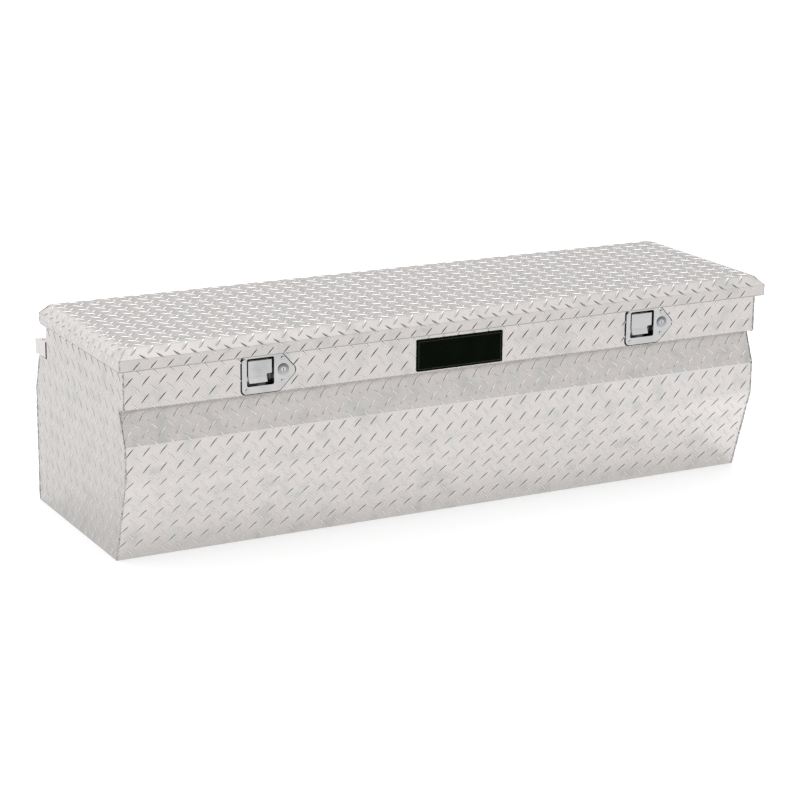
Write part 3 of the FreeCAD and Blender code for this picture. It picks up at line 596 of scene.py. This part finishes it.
def front_bars():
    """Bars of the front sheet, in two bands of rows that meet at the waist."""
    badge = np.array([(badge_low.x, badge_low.z), (badge_high.x, badge_low.z),
                      (badge_high.x, badge_high.z), (badge_low.x, badge_high.z)])
    skip = [badge, latch_outline("left"), latch_outline("right")]
    sheet_bars("front_upper_tread_bars", front_corners[:3], -1, upper_front_rows, skip=skip,
               slim=front_slim)
    sheet_bars("front_lower_tread_bars", front_corners[2:], -1, lower_front_rows,
               margin=fold_margin, slim=front_slim)


def end_bars(hand, side):
    """Bars of one end plate, cut off at its outline."""
    outline = np.vstack([rounded_path(front_corners[1:], -1)[0], rear_corners,
                         [(upper_front, rear_high.z)]])
    low, high = outline.min(0), outline.max(0)
    first, phase, shift = end_rows
    rows = (first, low[0] + phase, shift)
    centres, angles = lattice(low[0], high[0], rows, pitch_along, high[1])
    keep = inside(outline, centres[:, 0], centres[:, 1])
    along, across, rise = laid_bars(centres[keep], angles[keep], side, end_slim, end_low)
    along, across = pulled_back(centres[keep], along, across, lambda x, y: inside(outline, x, y))
    points = np.stack([side * (half_tub + rise), along, across], -1)
    bar_piece(f"{hand}_end_tread_bars", "tub", points, end_bar_finish)


def lid_bars():
    """Bars of the lid, which run on over its bevels and flanges on all four sides."""
    slant = lid_bevel * math.sqrt(2)
    start = 50 * mm         # how much of the flat top the flap's path holds
    flap = rounded_path([(-start, lid_high.z), (0.0, lid_high.z), (lid_bevel, lid_high.z - lid_bevel),
                         (lid_bevel, lid_low.z)], 1)
    reach = flap[2][-1] - start
    flat_x = lid_high.x - lid_bevel
    flat_front, flat_back = lid_low.y + lid_bevel, lid_high.y - lid_bevel
    centres, angles = lattice(-flat_x - reach, flat_x + reach, lid_rows, pitch_down, flat_back + reach)
    over_x = np.abs(centres[:, 0]) - flat_x
    over_y = np.maximum(flat_front - centres[:, 1], centres[:, 1] - flat_back)
    near_mitre = np.minimum(over_x, over_y) > -mitre_margin
    keep = (over_x < reach) & (over_y < reach) & ~near_mitre
    along, across, rise = laid_bars(centres[keep], -angles[keep], 1, lid_slim)
    over_x = np.abs(along) - flat_x
    over_y = np.maximum(flat_front - across, across - flat_back)
    on_end = over_x > np.maximum(over_y, 0)
    over = np.clip(np.where(on_end, over_x, over_y), -start, reach)
    place, facing = on_path(flap, over + start)
    outward = place[..., 0] + facing[..., 0] * rise
    height = place[..., 1] + facing[..., 1] * rise
    on_flap = over > -start / 2
    sign_y = np.where(across < (flat_front + flat_back) / 2, -1, 1)
    edge = np.where(sign_y < 0, flat_front, flat_back)
    mitre = np.clip(over, 0, slant) / math.sqrt(2)
    x_end = np.sign(along) * (flat_x + outward)
    x_side = np.clip(along, -flat_x - mitre, flat_x + mitre)
    y_end = np.clip(across, flat_front - mitre, flat_back + mitre)
    y_side = np.where(on_flap, edge + sign_y * outward, across)
    x, y = np.where(on_end, x_end, x_side), np.where(on_end, y_end, y_side)
    z = np.where(on_flap, height, lid_high.z + rise)
    # Painted shade: the bars are darker on the flange and darkest on the bevel, lighter on the flat top.
    finish = shaded("lid_bar_finish", bar_finish, "Z", [
        (lid_high.z - lid_bevel - 3 * mm, 0.92),    # flange
        (lid_high.z - lid_bevel, 0.64),             # bevel, painted darker
        (lid_high.z - 4 * mm, 0.64),
        (lid_high.z - mm, 1.0),                     # flat top
    ])
    bar_piece("lid_tread_bars", "lid", np.stack([x, y, z], -1), finish)


def welds():
    """Beads along the ends of the tub and down the four corners of the lid."""
    paths = {"front": rounded_path(front_corners, -1)[0], "rear": rounded_path(rear_corners[:3], -1)[0]}
    for hand, side in (("left", -1), ("right", 1)):
        x = side * (half_tub - tub_weld_inset)
        for place, path in paths.items():
            weld_bead(f"{hand}_{place}_weld", "tub", [(x, y, z) for y, z in path], tub_weld_radius,
                      weld_seeds[place] + side)
        x = side * (lid_high.x - lid_weld_inset)
        for place, edge, inward in (("front", lid_low.y, 1), ("rear", lid_high.y, -1)):
            y = edge + inward * lid_weld_inset
            route = [
                (x - side * lid_bevel, y + inward * lid_bevel, lid_high.z - lid_weld_sink),
                (x, y, lid_high.z - lid_bevel - lid_weld_inset / 2),
                (x, y, lid_low.z + mm),
            ]
            weld_bead(f"lid_{hand}_{place}_weld", "lid", route, lid_weld_radius, weld_seeds["lid"] + side)


def badge_border():
    """Thin raised line just inside the edge of the badge: four rings of four points, closed in a loop."""
    points, faces = [], []
    for inward, depth in ((0, border_sink), (0, -border_height),
                          (border_width, -border_height), (border_width, border_sink)):
        inset = border_inset + inward
        y = badge_low.y + depth
        x, low, high = badge_high.x - inset, badge_low.z + inset, badge_high.z - inset
        points += [(-x, y, low), (x, y, low), (x, y, high), (-x, y, high)]
    for ring in range(4):
        here, there = 4 * ring, 4 * ((ring + 1) % 4)
        for corner in range(4):
            beside = (corner + 1) % 4
            faces.append((here + corner, here + beside, there + beside, there + corner))
    tidy_mesh(make_piece("badge_border", points, faces, border_finish, "tub", smooth=False))


front_bars()
sheet_bars("rear_tread_bars", rear_corners, -1, rear_rows)
sheet_bars("rear_rail_tread_bars", rail_corners, 1, rail_rows, margin=rail_margin)
end_bars("left", -1)
end_bars("right", 1)
lid_bars()
welds()
badge_border()


# ---- painted light and shade along a part ------------------------------------------------------
def refinish(name, finish):
    """Puts a finish on a CAD node of one material."""
    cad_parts[name].material_slots[0].material = finish


def paint_sheet_shading():
    """Painted shade and painted light in strips on the lid, the front and the ends, from their bottom edge
    up.
    """
    flange_top = lid_high.z - lid_bevel
    refinish("lid_skin", shaded("lid_tread_finish", finish_of["tread_plate"], "Z", [
        (lid_low.z + 0.6 * mm, 0.45),           # painted shade along the flange's bottom edge
        (lid_low.z + 2.2 * mm, 0.92),           # flange, painted a little darker
        (flange_top - 3 * mm, 0.92),
        (flange_top + 2 * mm, 1.02),            # bevel, painted a little lighter
        (lid_high.z - 2.5 * mm, 1.02),
        (lid_high.z - 0.8 * mm, 0.84),          # flat top, painted darker
    ]))
    refinish("front_panel", shaded("front_tread_painted_light", finish_of["tread_plate"], "Z", [
        (15 * mm, 1.06),                        # slanted part, painted lighter, the painted light fading towards the floor
        (70 * mm, 1.20),
        (crease_height - 25 * mm, 1.22),
        (crease_height - 2 * mm, 1.14),
        (crease_height + 2 * mm, 1.03),         # upright middle part, painted a little lighter
        (band_bottom - 2 * mm, 1.03),
        (band_bottom + 2 * mm, 1.10),           # band, painted lighter
        (waist_height - 2 * mm, 1.10),
        (waist_height + 2 * mm, 0.98),          # upright upper part, painted a little darker
    ]))
    for hand in ("left", "right"):
        # Painted shade: the ends darker, most of all at the bottom.
        refinish(f"{hand}_end_panel", shaded(
            f"{hand}_end_painted_shade", finish_of["tread_plate"], "Z", [(0.0, 0.80), (rear_high.z, 0.88)]))


def paint_latch_shading():
    """Painted shade inside the pans, a painted highlight on the paddles' lip, and painted shade towards
    the locks' top.
    """
    # Painted shade: the pan grows dark with depth, as shade in the recess.
    painted_pan_shade = shaded("latch_pan_painted_shade", finish_of["stainless"], "Y", [
        (upper_front - 0.5 * mm, 1.0),          # flange plate
        (upper_front + 2 * mm, 0.06),           # pan's walls, painted near black as shade
        (upper_front + 16 * mm, 0.06),
        (upper_front + 18.5 * mm, 0.75),        # pan's back, painted shade
    ])
    for hand in ("left", "right"):
        refinish(f"{hand}_latch_dish", painted_pan_shade)
        lip_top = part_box(f"{hand}_paddle")[0].z + paddle_lip
        refinish(f"{hand}_paddle", shaded(f"{hand}_paddle_painted_highlight", finish_of["stainless"], "Z", [
            (lip_top - 9 * mm, 1.32),           # flared lip, painted lighter as a highlight
            (lip_top - 0.5 * mm, 1.22),
            (lip_top + 0.5 * mm, 0.98),         # flat of the paddle
            (lip_top + 30 * mm, 0.95),
        ]))
        low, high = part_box(f"{hand}_lock_barrel")
        # Painted shade, darker towards the top of the barrel.
        refinish(f"{hand}_lock_barrel", shaded(
            f"{hand}_lock_painted_shade", finish_of["lock_chrome"], "Z", [(low.z, 0.92), (high.z, 0.22)]))


paint_sheet_shading()
paint_latch_shading()


# ---- camera, floor and light -------------------------------------------------------------------
def place_camera():
    """Camera at the front left, slightly above."""
    forward = Vector((math.sin(camera_yaw) * math.cos(camera_pitch),
                      math.cos(camera_yaw) * math.cos(camera_pitch), -math.sin(camera_pitch)))
    right = Vector((math.cos(camera_yaw), -math.sin(camera_yaw), 0))
    down = forward.cross(right)
    turned_right = right * math.cos(camera_roll) + down * math.sin(camera_roll)
    turned_down = down * math.cos(camera_roll) - right * math.sin(camera_roll)
    camera = bpy.data.objects.new("camera", bpy.data.cameras.new("camera"))
    camera.data.lens = camera_lens
    camera.data.clip_end = camera_reach
    rotation = Matrix((turned_right, -turned_down, -forward)).transposed().to_4x4()
    camera.matrix_world = Matrix.Translation(camera_place) @ rotation
    scene.collection.objects.link(camera)
    scene.camera = camera


def place_floor():
    """Plain pale floor."""
    corners = [(x * floor_half, y * floor_half, 0) for x, y in ((-1, -1), (1, -1), (1, 1), (-1, 1))]
    mesh = bpy.data.meshes.new("floor")
    mesh.from_pydata(corners, [], [(0, 1, 2, 3)])
    mesh.materials.append(floor_finish)
    floor = bpy.data.objects.new("floor", mesh)
    scene.collection.objects.link(floor)


def towards(tree, direction, aim, low, high, start, full):
    """Light that goes from low to high as the direction nears aim; start and full are cosines."""
    near = node(tree, "ShaderNodeVectorMath", operation="DOT_PRODUCT")
    near.inputs[1].default_value = Vector(aim).normalized()
    tree.links.new(direction, near.inputs[0])
    return spread(tree, near.outputs["Value"], low, high, start, full)


def place_light():
    """Soft white studio: bright ceiling, two bright patches, and a dim corner behind the camera."""
    world = bpy.data.worlds.new("studio")
    world.use_nodes = True
    scene.world = world
    tree = world.node_tree
    direction = node(tree, "ShaderNodeTexCoord").outputs["Generated"]
    parts = node(tree, "ShaderNodeSeparateXYZ")
    tree.links.new(direction, parts.inputs["Vector"])
    dome = node(tree, "ShaderNodeFloatCurve")
    curve = dome.mapping.curves[0]
    curve.points[0].location = (0.0, dome_light[0][1])
    curve.points[1].location = (1.0, dome_light[-1][1])
    for height, bright in dome_light[1:-1]:
        curve.points.new(height, bright)
    dome.mapping.update()
    tree.links.new(parts.outputs["Z"], dome.inputs["Value"])
    lit = node(tree, "ShaderNodeMath", operation="MULTIPLY")
    lit.inputs[0].default_value = dome_scale
    tree.links.new(dome.outputs["Value"], lit.inputs[1])
    light = lit.outputs["Value"]
    for aim, glow, start, full in (back_patch, left_patch):
        light = combined(tree, "ADD", light, towards(tree, direction, aim, 0.0, glow, start, full))
    left_over, start, full = dim_corner
    dim = towards(tree, direction, camera_place, 1.0, left_over, start, full)
    light = combined(tree, "MULTIPLY", light, dim)
    tree.links.new(light, tree.nodes["Background"].inputs["Strength"])
    tree.nodes["Background"].inputs["Color"].default_value = (1, 1, 1, 1)


place_camera()
place_floor()
place_light()
scene.view_settings.view_transform = "Standard"
